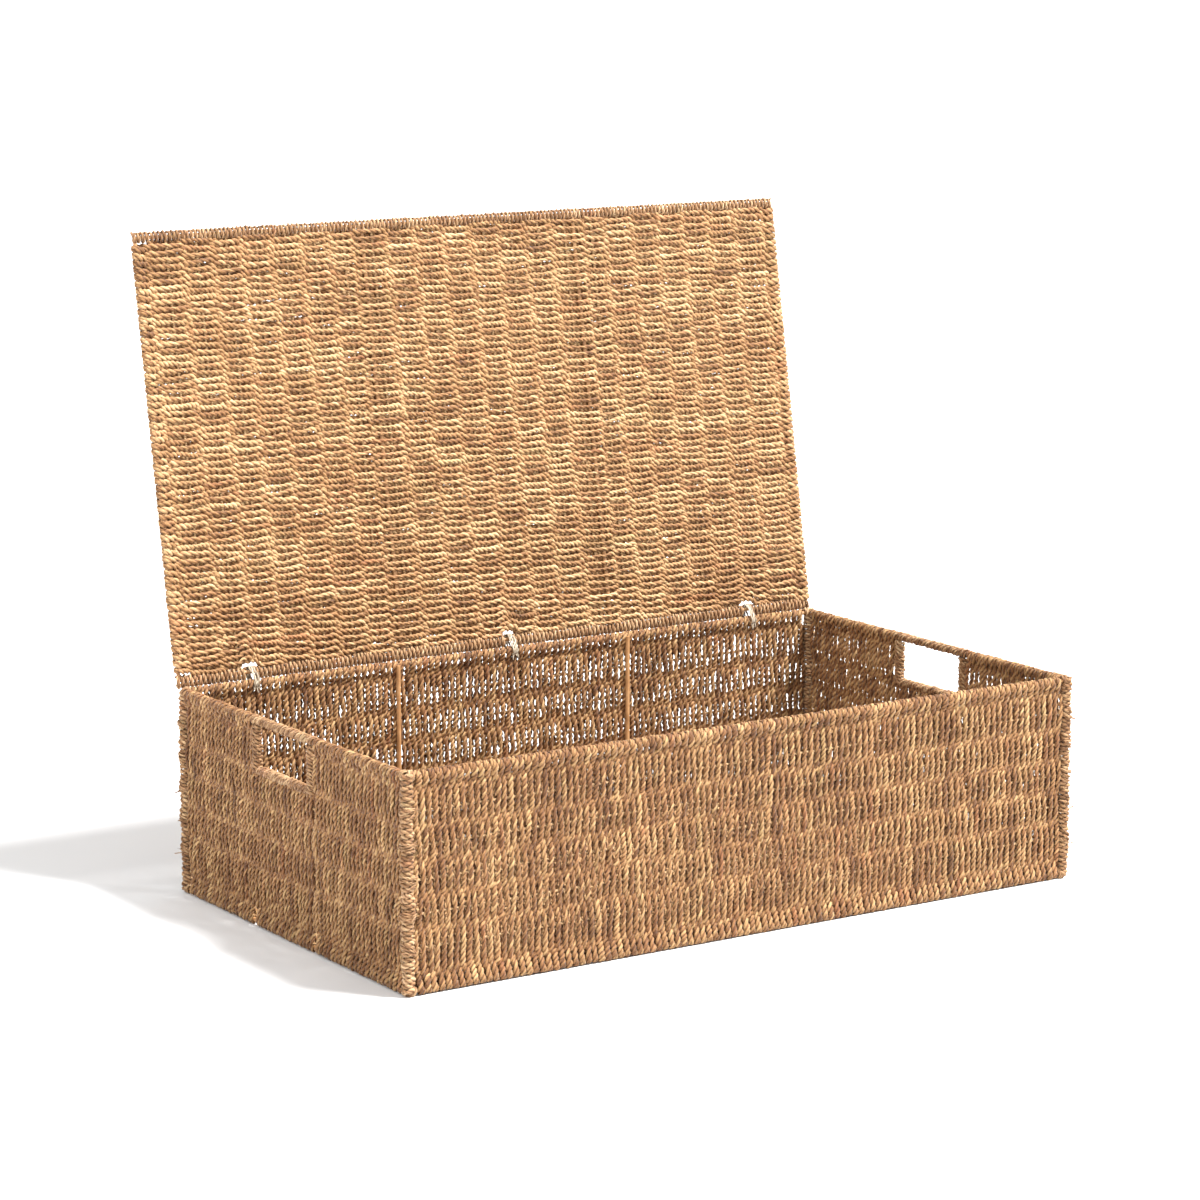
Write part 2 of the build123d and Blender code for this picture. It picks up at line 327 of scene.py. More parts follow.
def end_map(count, sides, height):
    """Bake map of the tubes' end faces, small rounds on the last ruled line."""
    angle = np.arange(sides) * 2 * math.pi / sides
    middle = (np.arange(count) + 0.5) / count
    radius = 0.3 * min(height, 1 / count)
    u = middle[:, None] + radius * np.cos(angle)
    v = np.full_like(u, 1 - height / 2) + radius * np.sin(angle)
    return np.stack([u, v], axis=2).reshape(-1, 2)


def cord_mesh(name, cords):
    """One mesh of closed cords that all have the same number of sides."""
    sides = cords[0].sides
    points, fibres, tones, quads, ends = [], [], [], [], []
    first = 0
    for cord in cords:
        surface = cord_surface(cord)
        for kept, values in zip((points, fibres, tones), surface):
            kept.append(values.reshape(-1, 3))
        faces, caps = tube_faces(len(cord.place), sides, first)
        quads.append(faces)
        ends += caps
        first += len(cord.place) * sides
    points = np.concatenate(points)
    quads = np.concatenate(quads)
    corners = np.concatenate([quads.ravel(), np.concatenate(ends)])
    sizes = np.concatenate([np.full(len(quads), 4), np.full(len(ends), sides)])
    mesh = bpy.data.meshes.new(name)
    mesh.vertices.add(len(points))
    mesh.loops.add(len(corners))
    mesh.polygons.add(len(sizes))
    mesh.vertices.foreach_set("co", points.astype(np.float32).ravel())
    mesh.loops.foreach_set("vertex_index", corners.astype(np.int32))
    mesh.polygons.foreach_set("loop_start", (np.cumsum(sizes) - sizes).astype(np.int32))
    mesh.polygons.foreach_set("use_smooth", np.ones(len(sizes), bool))
    add_vector(mesh, "fibre", np.concatenate(fibres))
    # The tone attribute carries each ply's tone, its hue and the painted groove shade.
    add_vector(mesh, "tone", np.concatenate(tones))
    strips, height = strip_map([len(cord.place) - 1 for cord in cords], sides)
    rounds = end_map(len(ends), sides, height)
    bake_map = mesh.uv_layers.new(name="OFBake")
    bake_map.data.foreach_set("uv", np.concatenate([strips, rounds]).astype(np.float32).ravel())
    mesh.update(calc_edges=True)
    return mesh


def add_vector(mesh, name, values):
    """Stores one vector for each vertex, for the materials to read."""
    layer = mesh.attributes.new(name, "FLOAT_VECTOR", "POINT")
    layer.data.foreach_set("vector", values.astype(np.float32).ravel())


def share_out(cords, limit=RINGS_PER_PIECE):
    """Groups of cords with at most that many rings each; a long cord is cut at a ring."""
    groups = [[]]
    room = limit
    for cord in cords:
        first = 0
        while first < len(cord.place) - 1:
            last = min(len(cord.place), first + room)
            groups[-1].append(cord.part(first, last))
            room -= last - first
            first = last - 1
            if room < FEWEST_RINGS:
                groups.append([])
                room = limit
    return [group for group in groups if group]


def add_piece(name, cords, body, material, replaced=()):
    """Makes pieces from cords, as many as their size asks for, that ride on a body."""
    cords_on[body] += cords
    groups = share_out(cords)
    for number, group in enumerate(groups, 1):
        full_name = name if len(groups) == 1 else f"{name}_{number}"
        piece = bpy.data.objects.new(full_name + "_cord", cord_mesh(full_name, group))
        bpy.context.scene.collection.objects.link(piece)
        piece.data.materials.append(material)
        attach(piece, body)
        if replaced:
            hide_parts(*replaced)


def add_stand_in(name, cords, body, material):
    """Makes the pieces that take the place of the CAD node with the same name."""
    add_piece(name, cords, body, material, [name])


# ---------------------------------------------------------------- woven panels

class Panel:
    """A flat panel: its middle, the way its cords step, the way they run, and its outside."""

    def __init__(self, middle, step, run, out):
        self.middle = np.array(middle, float)
        self.step = np.array(step, float)
        self.axes = np.array([step, run, out], float)

    def place(self, keys):
        """Key rows with their places turned from the panel's directions to the frame's."""
        keys = np.asarray(keys, float)
        return np.hstack([self.middle + keys[:, :3] @ self.axes, keys[:, 3:]])


class Drift:
    """A smooth random shift over a panel, so that neighbouring cords wander together."""

    def __init__(self):
        self.values = random.normal(0, DRIFT_AMOUNT, (DRIFT_GRID, DRIFT_GRID))

    def at(self, first, second):
        place = np.array([first, second]) / DRIFT_SPACING + DRIFT_GRID // 2
        low = np.floor(place).astype(int)
        part = place - low
        part = part * part * (3 - 2 * part)
        corners = self.values[low[0]:low[0] + 2, low[1]:low[1] + 2]
        return (1 - part[0], part[0]) @ corners @ (1 - part[1], part[1])


def column_keys(at, supports, sign, drift, sizes):
    """Key rows of one pass of the cord over and under the supports, upwards.

    The sizes are the cord's half width on the panel's outside, on its inside and between,
    and its half depth between.
    """
    outside, inside, between, depth = sizes
    keys = []
    for group in supports:
        middle = sum(height for height, radius in group) / len(group)
        moved = at + drift.at(at, middle) + random.normal(0, PASS_WANDER)
        lean = random.normal(0, PASS_LEAN)
        wide = (outside if sign > 0 else inside) * random.uniform(*WIDTH_RANGE)
        half = (wide + between) / 2
        reach = sign * (group[0][1] + FLOAT_HALF_DEPTH * random.uniform(*PRESS_RANGE))
        near = SHOULDER * random.uniform(*SHOULDER_RANGE)
        low = group[0][0] - near
        high = group[-1][0] + near
        keys.append((moved - lean, low, reach * SHOULDER_REACH, half, FLOAT_HALF_DEPTH))
        for height, radius in group:
            reach = sign * (radius + abs(reach) - group[0][1])
            keys.append((moved, height, reach, wide, FLOAT_HALF_DEPTH))
        keys.append((moved + lean, high, reach * SHOULDER_REACH, half, FLOAT_HALF_DEPTH))
        sign = -sign
    crossings = []
    for lower, upper in zip(keys[:-1], keys[1:]):
        if lower[2] * upper[2] < 0:
            middle = (np.array(lower) + np.array(upper)) / 2
            middle[3:] = (between, depth)
            crossings.append(tuple(middle))
    return sorted(keys + crossings, key=lambda key: key[1])


def tucked(key, edge, sizes):
    """A key halfway from a pass to the edge, where the cord lies close to the panel's middle."""
    height = (key[1] + edge[0]) / 2
    return (key[0], height, key[2] * TUCK, *sizes[2:])


def wrap_keys(middle, edge, end, side, pitch):
    """Key rows of one and a half turns over an edge rod, from one column to the next."""
    height, radius = edge
    keys = []
    loose = random.uniform(*WRAP_TIGHTNESS)
    spread = random.uniform(*WRAP_SPREAD) * pitch
    for angle in np.linspace(0, WRAP_TURNS * 2 * math.pi, WRAP_KEYS):
        part = angle / (WRAP_TURNS * 2 * math.pi) - 0.5
        reach = (radius + WRAP_HALF_DEPTH) * loose + random.normal(0, 0.0001)
        up = end * reach * math.sin(angle)
        out = -side * reach * math.cos(angle)
        at = middle + part * spread
        half = WRAP_HALF_WIDTH + WRAP_SPREAD_AT_ENDS * (2 * part) ** 4
        keys.append((at, height + up, out, half, WRAP_HALF_DEPTH))
    return keys


def turn_keys(middle, height, end, pitch):
    """Key rows of a plain turn from one column to the next, where no rod shows."""
    keys = []
    for angle in np.linspace(TURN_START, math.pi - TURN_START, 4):
        at = middle - math.cos(angle) * pitch / 2
        up = end * math.sin(angle) * pitch / 2
        keys.append((at, height + up, 0, WRAP_HALF_WIDTH, TURN_HALF_DEPTH))
    return keys


def edge_keys(middle, edge, end, side, pitch):
    """The turn at either end of a column."""
    if edge[1] > 0:
        return wrap_keys(middle, edge, end, side, pitch)
    return turn_keys(middle, edge[0], end, pitch)


def woven_cord(panel, columns, low_edge, high_edge, supports, sizes, bend=None, **detail):
    """One unbroken cord that goes up and down all the columns of a panel."""
    pitch = (columns[-1] - columns[0]) / (len(columns) - 1)
    drift = Drift()
    keys = []
    for number, at in enumerate(columns):
        rises = number % 2 == 0
        sign = 1 if rises else -1
        passes = column_keys(at, supports, sign, drift, sizes)
        head = tucked(passes[-1], high_edge, sizes)
        passes = [tucked(passes[0], low_edge, sizes)] + passes + [head]
        keys += passes if rises else passes[::-1]
        if number < len(columns) - 1:
            end = 1 if rises else -1
            edge = high_edge if rises else low_edge
            last_side = math.copysign(1, keys[-1][2])
            keys += edge_keys(at + pitch / 2, edge, end, last_side, pitch)
    placed = panel.place if bend is None else lambda rows: panel.place(bend(rows))
    return Cord(keys, panel.step, placed=placed, **detail)


def columns_between(low, high, pitch):
    """Evenly spaced columns that fill a width with half a pitch left at each side."""
    count = max(2, round((high - low) / pitch))
    pitch = (high - low) / count
    return low + pitch * (np.arange(count) + 0.5)


# ---------------------------------------------------------------- windings

def winding(start, end, first_axis, second_axis, pitch, looseness=0.00015, thickness=1.0):
    """Cord wound round the line from start to end; the axes give the half size of a turn."""
    start = np.array(start, float)
    line = np.array(end, float) - start
    length = np.linalg.norm(line)
    turns = max(1, round(length / pitch))
    keys = []
    for number in range(turns * KEYS_PER_TURN + 1):
        angle = number * 2 * math.pi / KEYS_PER_TURN
        part = number / (turns * KEYS_PER_TURN)
        loose = 1 + random.normal(0, looseness) / np.linalg.norm(first_axis)
        place = start + line * part + loose * (
            math.cos(angle) * np.array(first_axis) + math.sin(angle) * np.array(second_axis)
        )
        keys.append((*place, WRAP_HALF_WIDTH * thickness, WRAP_HALF_DEPTH * thickness))
    return Cord(keys, line / length)


# ---------------------------------------------------------------- places from the frame

def middle_of(node):
    low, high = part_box(node)
    return (low + high) / 2


def half_size(node):
    low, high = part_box(node)
    return (high - low) / 2


WIRE_RADIUS = half_size("top_rim_wire").z
WARP_RADIUS = half_size("front_wall_warps").y
RIM_X = half_size("top_rim_wire").x - WIRE_RADIUS
RIM_Y = half_size("top_rim_wire").y - WIRE_RADIUS
RIM_Z = middle_of("top_rim_wire").z
FOOT_Z = middle_of("bottom_rim_wire").z
PANEL_X = half_size("front_wall_weave").x
PANEL_Y = half_size("left_wall_weave").y
SILL_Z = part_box("left_handle_frame")[0].z + WIRE_RADIUS
HANDLE_HALF = half_size("left_handle_frame").y - WIRE_RADIUS
SURROUND_HALF = half_size("left_handle_side_bindings").y
HANDLE_MIDDLE = {name: middle_of(name + "_handle_frame").y for name in ("left", "right")}
SURROUND_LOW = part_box("left_handle_side_bindings")[0].z
SURROUND_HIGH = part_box("left_handle_side_bindings")[1].z
HINGE = Vector(frame["joints"][0]["pos_m"])
LID_REACH = middle_of("lid_front_binding") - HINGE
LID_ROLL = half_size("lid_front_binding").y
LID_HALF_X = half_size("lid_frame_wire").x - WIRE_RADIUS
TIES = [middle_of("hinge_tie_" + name).x for name in ("left", "middle", "right")]


def even_supports(node, axis, radius, count):
    """Evenly spaced warps of a CAD node, as (place, radius)."""
    low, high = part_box(node)
    places = np.linspace(low[axis] + radius, high[axis] - radius, count)
    return [[(place, radius)] for place in places]


def with_stiffeners(supports, places, radius):
    """Adds stiffening wires; each works as one with the warp nearest to it."""
    for place in places:
        nearest = min(supports, key=lambda group: abs(group[0][0] - place))
        nearest.append((place, radius))
        nearest.sort()
    return supports


# ---------------------------------------------------------------- materials

def new_material(name):
    material = bpy.data.materials.new(name)
    material.use_nodes = True
    tree = material.node_tree
    shader = tree.nodes["Principled BSDF"]
    return material, tree, shader


def node(tree, kind, **inputs):
    """A shader node with some of its inputs set; the names use underscores for spaces."""
    made = tree.nodes.new(kind)
    for name, value in inputs.items():
        made.inputs[name.replace("_", " ")].default_value = value
    return made


def ramp(tree, factor, stops):
    """A colour ramp through (place, sRGB colour) stops."""
    made = tree.nodes.new("ShaderNodeValToRGB")
    elements = made.color_ramp.elements
    while len(elements) < len(stops):
        elements.new(0.5)
    for element, (place, colour) in zip(elements, stops):
        element.position = place
        element.color = (*[linear(value) for value in colour], 1)
    tree.links.new(factor, made.inputs["Fac"])
    return made.outputs["Color"]


def linear(value):
    """An sRGB value out of 255 as linear light."""
    value /= 255
    return value / 12.92 if value <= 0.04045 else ((value + 0.055) / 1.055) ** 2.4


def feed(tree, socket, value):
    """Sets a node's input to a value, or links it to another node's output."""
    if isinstance(value, bpy.types.NodeSocket):
        tree.links.new(value, socket)
    else:
        socket.default_value = value


def mixed(tree, factor, first, second, blend="MIX"):
    """Two colours mixed; factor is a number or a socket."""
    made = tree.nodes.new("ShaderNodeMix")
    made.data_type = "RGBA"
    made.blend_type = blend
    for number, value in ((0, factor), (6, first), (7, second)):
        feed(tree, made.inputs[number], value)
    return made.outputs[2]


def maths(tree, operation, *values):
    """The result of a sum; each value is a number or a socket."""
    made = tree.nodes.new("ShaderNodeMath")
    made.operation = operation
    for socket, value in zip(made.inputs, values):
        feed(tree, socket, value)
    return made.outputs[0]


def stored(tree, name):
    """A vector that the mesh carries for each of its vertices."""
    made = tree.nodes.new("ShaderNodeAttribute")
    made.attribute_name = name
    return made.outputs["Vector"]


def on_object(tree, texture):
    """The value of a texture that is laid out by the piece's own coordinates."""
    place = tree.nodes.new("ShaderNodeTexCoord")
    tree.links.new(place.outputs["Object"], texture.inputs["Vector"])
    return texture.outputs["Fac"]


def add_bumps(tree, shader, height, strength, distance):
    """Raises and lowers a surface by a height."""
    bump = node(tree, "ShaderNodeBump", Strength=strength, Distance=distance)
    tree.links.new(height, bump.inputs["Height"])
    tree.links.new(bump.outputs[0], shader.inputs["Normal"])


def fibre_streaks(tree):
    """Fine noise, drawn out along the cord."""
    stretch = node(tree, "ShaderNodeMapping", Scale=(0.14, 2.2, 2.2))
    tree.links.new(stored(tree, "fibre"), stretch.inputs["Vector"])
    streaks = node(tree, "ShaderNodeTexNoise", Scale=1.6, Detail=4.0, Roughness=0.65)
    tree.links.new(stretch.outputs[0], streaks.inputs["Vector"])
    return streaks.outputs["Fac"]


def straw_colour(tree, streaks, stops, hue_strength):
    """Straw by the tone of each ply, streaked, tinted, and darkened by painted shade in the groove
    between plies.
    """
    parts = tree.nodes.new("ShaderNodeSeparateXYZ")
    tree.links.new(stored(tree, "tone"), parts.inputs[0])
    spread = maths(tree, "MULTIPLY_ADD", streaks, 1.5, -0.75)
    level = maths(tree, "ADD", parts.outputs["X"], spread)
    blotches = node(tree, "ShaderNodeTexNoise", Scale=55.0, Detail=2.0, Roughness=0.5)
    drift = maths(tree, "MULTIPLY_ADD", on_object(tree, blotches), 0.3, -0.15)
    straw = ramp(tree, maths(tree, "ADD", level, drift), stops)
    tint = ramp(tree, parts.outputs["Y"], STRAW_TINT)
    coloured = mixed(tree, hue_strength, straw, tint, "MULTIPLY")
    # Painted shade in the groove between the plies
    shadow = ramp(tree, parts.outputs["Z"], GROOVE_SHADOW)
    return mixed(tree, 1.0, coloured, shadow, "MULTIPLY")


def seagrass(name, stops, hue_strength=0.5):
    """Twisted seagrass: straw tones that drift along each ply, fine fibres, dry sheen."""
    material, tree, shader = new_material(name)
    streaks = fibre_streaks(tree)
    colour = straw_colour(tree, streaks, stops, hue_strength)
    feed(tree, shader.inputs["Base Color"], colour)
    feed(tree, shader.inputs["Roughness"], maths(tree, "MULTIPLY_ADD", streaks, 0.35, 0.52))
    add_bumps(tree, shader, streaks, 0.6, 0.0004)
    shader.inputs["Specular IOR Level"].default_value = 0.35
    shader.inputs["Sheen Weight"].default_value = 0.12
    shader.inputs["Sheen Roughness"].default_value = 0.4
    return material


def coated_wire():
    """Light brown coating on the frame wires, slightly uneven, worn in places."""
    material, tree, shader = new_material("coated_wire")
    patches = on_object(tree, node(tree, "ShaderNodeTexNoise", Scale=60.0, Detail=4.0))
    feed(tree, shader.inputs["Base Color"], ramp(tree, patches, WIRE_COAT))
    feed(tree, shader.inputs["Roughness"], maths(tree, "MULTIPLY_ADD", patches, 0.3, 0.3))
    add_bumps(tree, shader, patches, 0.3, 0.0002)
    return material


def warp_cord():
    """Thin hard-twisted cord; a slanting wave makes its twist along whichever way it runs."""
    material, tree, shader = new_material("warp_cord")
    wave = node(tree, "ShaderNodeTexWave", Scale=260.0, Distortion=2.0, Detail=2.0)
    wave.bands_direction = "DIAGONAL"
    twist = on_object(tree, wave)
    feed(tree, shader.inputs["Base Color"], ramp(tree, twist, WARP_CORD))
    add_bumps(tree, shader, twist, 0.7, 0.0003)
    shader.inputs["Roughness"].default_value = 0.8
    return material


# ---------------------------------------------------------------- the basket

def long_wall(name, facing, material):
    """Front or back wall: cords upright, one unbroken cord from corner to corner."""
    panel = Panel((0, facing * RIM_Y, 0), (1, 0, 0), (0, 0, 1), (0, facing, 0))
    supports = even_supports(name + "_wall_warps", 2, WARP_RADIUS, WALL_WARPS)
    columns = columns_between(-PANEL_X, PANEL_X, WALL_PITCH)
    edges = (FOOT_Z, WIRE_RADIUS), (RIM_Z, WIRE_RADIUS)
    sizes = FRONT_WEAVE if name == "front" else BACK_WEAVE
    cord = woven_cord(panel, columns, *edges, supports, sizes)
    add_stand_in(name + "_wall_weave", [cord], "basket", material)


def short_wall(name, side, material):
    """Left or right wall; under the hand hole the cords turn below the sill."""
    panel = Panel((side * RIM_X, 0, 0), (0, 1, 0), (0, 0, 1), (side, 0, 0))
    supports = even_supports(name + "_wall_warps", 2, WARP_RADIUS, WALL_WARPS)
    low = [group for group in supports if group[0][0] < SILL_Z - SHOULDER]
    foot = (FOOT_Z, WIRE_RADIUS)
    rim = (RIM_Z, WIRE_RADIUS)
    sill = (SURROUND_LOW + WRAP_HALF_WIDTH, 0)
    front = HANDLE_MIDDLE[name] - SURROUND_HALF
    back = HANDLE_MIDDLE[name] + SURROUND_HALF
    cords = []
    for start, end, top, warps in (
        (-PANEL_Y, front, rim, supports),
        (front, back, sill, low),
        (back, PANEL_Y, rim, supports),
    ):
        columns = columns_between(start, end, WALL_PITCH)
        cords.append(woven_cord(panel, columns, foot, top, warps, SIDE_WEAVE))
    add_stand_in(name + "_wall_weave", cords, "basket", material)


def floor_weave(material):
    """The woven floor; its cords run along X like the lid's."""
    panel = Panel((0, 0, FOOT_Z), (0, 1, 0), (1, 0, 0), (0, 0, 1))
    supports = even_supports("base_warps", 0, WARP_RADIUS, LID_WARPS)
    cross = half_size("base_cross_wires").x - WIRE_RADIUS
    supports = with_stiffeners(supports, (-cross, cross), WIRE_RADIUS)
    rows = columns_between(-PANEL_Y, PANEL_Y, FLOOR_PITCH)
    edges = (-PANEL_X + WRAP_HALF_WIDTH, 0), (PANEL_X - WRAP_HALF_WIDTH, 0)
    cord = woven_cord(panel, rows, *edges, supports, LID_WEAVE,
                      step=HIDDEN_RING_STEP, sides=HIDDEN_CORD_SIDES)
    add_stand_in("base_weave", [cord], "basket", material)


def corner_windings(material):
    """Cord wound round each corner post, and over the rim wires beside it."""
    reach = WIRE_RADIUS + WRAP_HALF_DEPTH + CORNER_SLACK
    over_x = (reach, 0, 0)
    over_y = (0, reach, 0)
    over_z = (0, 0, reach)
    for y_name, y_side in (("front", -1), ("back", 1)):
        for x_name, x_side in (("left", -1), ("right", 1)):
            x = x_side * RIM_X
            y = y_side * RIM_Y
            cords = [post_winding(x, y, reach + POST_SLACK)]
            for z in (FOOT_Z, RIM_Z):
                corner = (x, y, z)
                wall_end = (x_side * PANEL_X, y, z)
                cords.append(winding(wall_end, corner, over_y, over_z, BINDING_PITCH))
                wall_end = (x, y_side * PANEL_Y, z)
                cords.append(winding(wall_end, corner, over_x, over_z, BINDING_PITCH))
            name = f"corner_binding_{y_name}_{x_name}"
            add_stand_in(name, cords, "basket", material)


def post_winding(x, y, reach):
    """The thick cord wound loosely round a corner post, from the floor to the rim."""
    return winding((x, y, POST_FOOT), (x, y, RIM_Z + WIRE_RADIUS), (reach, 0, 0), (0, reach, 0),
                   POST_PITCH, looseness=0.0005, thickness=POST_THICKNESS)


def corner_knots(material):
    """Rough turns and loose ends where each warp is tied to a corner."""
    cords = []
    reach = WIRE_RADIUS + 3 * WRAP_HALF_DEPTH
    warps = even_supports("front_wall_warps", 2, WARP_RADIUS, WALL_WARPS)
    for x_side in (-1, 1):
        for y_side in (-1, 1):
            for [(z, _)] in warps:
                height = random.uniform(*KNOT_HEIGHTS)
                for _ in range(2):
                    cords.append(knot(x_side, y_side, z, reach, height))
    add_stand_in("corner_knots", cords, "basket", material)


def knot(x_side, y_side, z, reach, height):
    """Thin cord tied slantwise round a corner, both its ends left sticking out."""
    thin = random.uniform(0.5, 0.7)
    tilt = random.uniform(-1, 1) * height * 0.5
    turns = random.integers(1, 3)
    start = random.uniform(0.3, 0.7) * math.pi
    keys = []
    for number in range(turns * KEYS_PER_TURN + 1):
        angle = start + number * 2 * math.pi / KEYS_PER_TURN
        part = number / (turns * KEYS_PER_TURN)
        rise = (part - 0.5) * height + tilt * math.cos(angle)
        out = reach + random.uniform(-0.0003, 0.0004)
        place = (
            x_side * (RIM_X + out * math.cos(angle)),
            y_side * (RIM_Y + out * math.sin(angle)),
            z + rise,
        )
        keys.append((*place, WRAP_HALF_WIDTH * thin, WRAP_HALF_DEPTH * thin))
    head = loose_end(keys[0], keys[1])
    tail = loose_end(keys[-1], keys[-2])
    return Cord(head[::-1] + keys + tail, (0, 0, 1))


def loose_end(end, before):
    """Key rows of a tapering end that carries on from where the cord was heading."""
    end = np.array(end)
    heading = end[:3] - np.array(before)[:3]
    heading /= np.linalg.norm(heading)
    droop = random.normal(0, 0.25, 3)
    length = random.uniform(*LOOSE_END_LENGTHS)
    keys = []
    for part in (0.35, 0.7, 1.0):
        key = end.copy()
        key[:3] += (heading + droop * part) * part * length
        key[3:] *= 1 - 0.6 * part
        keys.append(tuple(key))
    return keys


def handle_windings(name, side, material):
    """The bound edge of a hand hole: grip, two uprights and sill."""
    x = side * RIM_X
    y = HANDLE_MIDDLE[name]
    reach = WIRE_RADIUS + WRAP_HALF_DEPTH
    over_x = (reach, 0, 0)
    over_z = (0, 0, reach)
    grip = winding((x, y - SURROUND_HALF, RIM_Z), (x, y + SURROUND_HALF, RIM_Z),
                   over_x, over_z, BINDING_PITCH, looseness=0.0003)
    wide = SURROUND_HALF - HANDLE_HALF - WRAP_HALF_DEPTH
    foot = SURROUND_LOW + SIDE_BINDING_FOOT
    uprights = [
        winding((x, upright, foot), (x, upright, SURROUND_HIGH), (0, wide, 0), over_x,
                BINDING_PITCH, looseness=0.0005)
        for upright in (y - HANDLE_HALF, y + HANDLE_HALF)
    ]
    end = HANDLE_HALF - wide
    sill = winding((x, y - end, SILL_Z), (x, y + end, SILL_Z), over_x, over_z,
                   BINDING_PITCH, looseness=0.0004)
    parts = {"grip_binding": [grip], "side_bindings": uprights, "sill_binding": [sill]}
    for part, cords in parts.items():
        add_stand_in(f"{name}_handle_{part}", cords, "basket", material)


# ---------------------------------------------------------------- the lid

def lid_panel():
    """The lid as a panel at its open place: rows step away from the hinge and run along X."""
    step = LID_REACH.normalized()
    run = Vector((1, 0, 0))
    return Panel(HINGE, step, run, run.cross(step))


def room_for_ties(rows):
    """Pushes the lid's first rows away from its back wire where a tie goes round it."""
    rows = rows.copy()
    away = np.min([np.abs(rows[:, 1] - tie) for tie in TIES], axis=0)
    near = np.clip((2.4 * TIE_HALF_WIDTH - away) / (1.2 * TIE_HALF_WIDTH), 0, 1)
    near = near * near * (3 - 2 * near)
    rows[:, 0] += TIE_ROOM * near * np.exp(-rows[:, 0] / TIE_ROOM_FADE)
    return rows


def lid_weave(material):
    """The lid's woven panel; its rows wrap the side wires."""
    supports = even_supports("lid_warps", 0, WARP_RADIUS, LID_WARPS)
    cross = half_size("lid_cross_wires").x - WIRE_RADIUS
    supports = with_stiffeners(supports, (-cross, cross), WIRE_RADIUS)
    inset = WIRE_RADIUS + WRAP_HALF_DEPTH
    rows = columns_between(inset, LID_REACH.length - inset, LID_PITCH)
    edges = (-LID_HALF_X, WIRE_RADIUS), (LID_HALF_X, WIRE_RADIUS)
    cord = woven_cord(lid_panel(), rows, *edges, supports, LID_WEAVE, bend=room_for_ties)
    add_stand_in("lid_weave", [cord], "lid", material)


def lid_bindings(material):
    """Stitches over the front and back wires of the lid, left out at the ties."""
    end = LID_HALF_X + LID_ROLL - WRAP_HALF_DEPTH
    stops = [-end]
    for tie in TIES:
        stops += [tie - TIE_HALF_WIDTH, tie + TIE_HALF_WIDTH]
    stops.append(end)
    stretches = list(zip(stops[::2], stops[1::2]))
    back = [
        stitches(0.0, -STITCH_TOWARDS_RIM, STITCH_OVER_WEAVE, first, last)
        for first, last in stretches
    ]
    back += [bolster(first, last) for first, last in stretches]
    add_stand_in("lid_back_binding", back, "lid", material)
    front = stitches(LID_REACH.length, STITCH_PAST_WIRE, -STITCH_OVER_WEAVE, -end, end)
    add_stand_in("lid_front_binding", [front], "lid", material)


def stitches(along, past, inside, first, last):
    """Stitches over a lid wire, from a little past the wire to well over the weave."""
    panel = lid_panel()
    step, run, out = panel.axes
    wire = panel.middle + (along + (past + inside) / 2) * step
    half = abs(past - inside) / 2 - WRAP_HALF_DEPTH
    return winding(wire + first * run, wire + last * run, half * step,
                   (LID_ROLL - WRAP_HALF_DEPTH) * out, STITCH_PITCH, looseness=0.0003)


def bolster(first, last):
    """The cord laid along the lid's back wire, inside the stitches, that fills their curve."""
    keys = [
        (BOLSTER_AT + random.normal(0, 0.0001), place, 0, BOLSTER_HALF_WIDTH, TURN_HALF_DEPTH)
        for place in np.linspace(first, last, BOLSTER_KEYS)
    ]
    panel = lid_panel()
    return Cord(keys, panel.step, placed=panel.place)


# ---------------------------------------------------------------- ties

def tie_route():
    """Places on a loop round the rim wire and the lid's back wire, in the Y-Z plane."""
    radius = WIRE_RADIUS + 2 * WRAP_HALF_DEPTH + TIE_STRAND_HALF_DEPTH
    wires = [np.array([RIM_Y, RIM_Z]), np.array([HINGE.y, HINGE.z])]
    places = []
    for number in range(TIE_ROUTE_PLACES):
        angle = number * 2 * math.pi / TIE_ROUTE_PLACES
        way = np.array([math.sin(angle), -math.cos(angle)])
        wire = max(wires, key=lambda each: each @ way)
        places.append(wire + radius * way)
    return places


def hinge_ties(material):
    """Pale raffia strands, tied in loops that hold the lid's back wire to the rim."""
    route = tie_route()
    for name, x in zip(("left", "middle", "right"), TIES):
        strands = []
        for offset in np.linspace(-1, 1, TIE_STRANDS):
            at = x + offset * TIE_SPREAD
            keys = [
                (at + random.normal(0, 0.0002), y, z, TIE_STRAND_HALF_WIDTH, TIE_STRAND_HALF_DEPTH)
                for y, z in route + route[:3]
            ]
            strands.append(Cord(keys, (1, 0, 0), step=TIE_RING_STEP))
            strands.append(tie_tail(at, route[-3]))
        add_stand_in("hinge_tie_" + name, strands, "basket", material)


def tie_tail(x, start):
    """The loose end of a strand, hanging inside the basket under the rim."""
    y, z = start
    length = random.uniform(*LOOSE_END_LENGTHS)
    spread = random.uniform(-0.0015, 0.0015)
    keys = []
    for part in (0, 0.3, 0.6, 1.0):
        thin = 1 - 0.7 * part
        keys.append((
            x + spread * part,
            y - 0.0006 - 0.0016 * part,
            z + 0.002 - part * length,
            TIE_STRAND_HALF_WIDTH * thin,
            TIE_STRAND_HALF_DEPTH * thin,
        ))
    return Cord(keys, (1, 0, 0), step=TIE_RING_STEP)


# ---------------------------------------------------------------- stray fibres

def stray_fibres(cords, count):
    """Thin dry fibres that stand off the cords, each rooted on one of them."""
    sizes = np.array([len(cord.place) for cord in cords])
    rooted_on = random.choice(len(cords), count, p=sizes / sizes.sum())
    return [stray_fibre(cords[which]) for which in rooted_on]


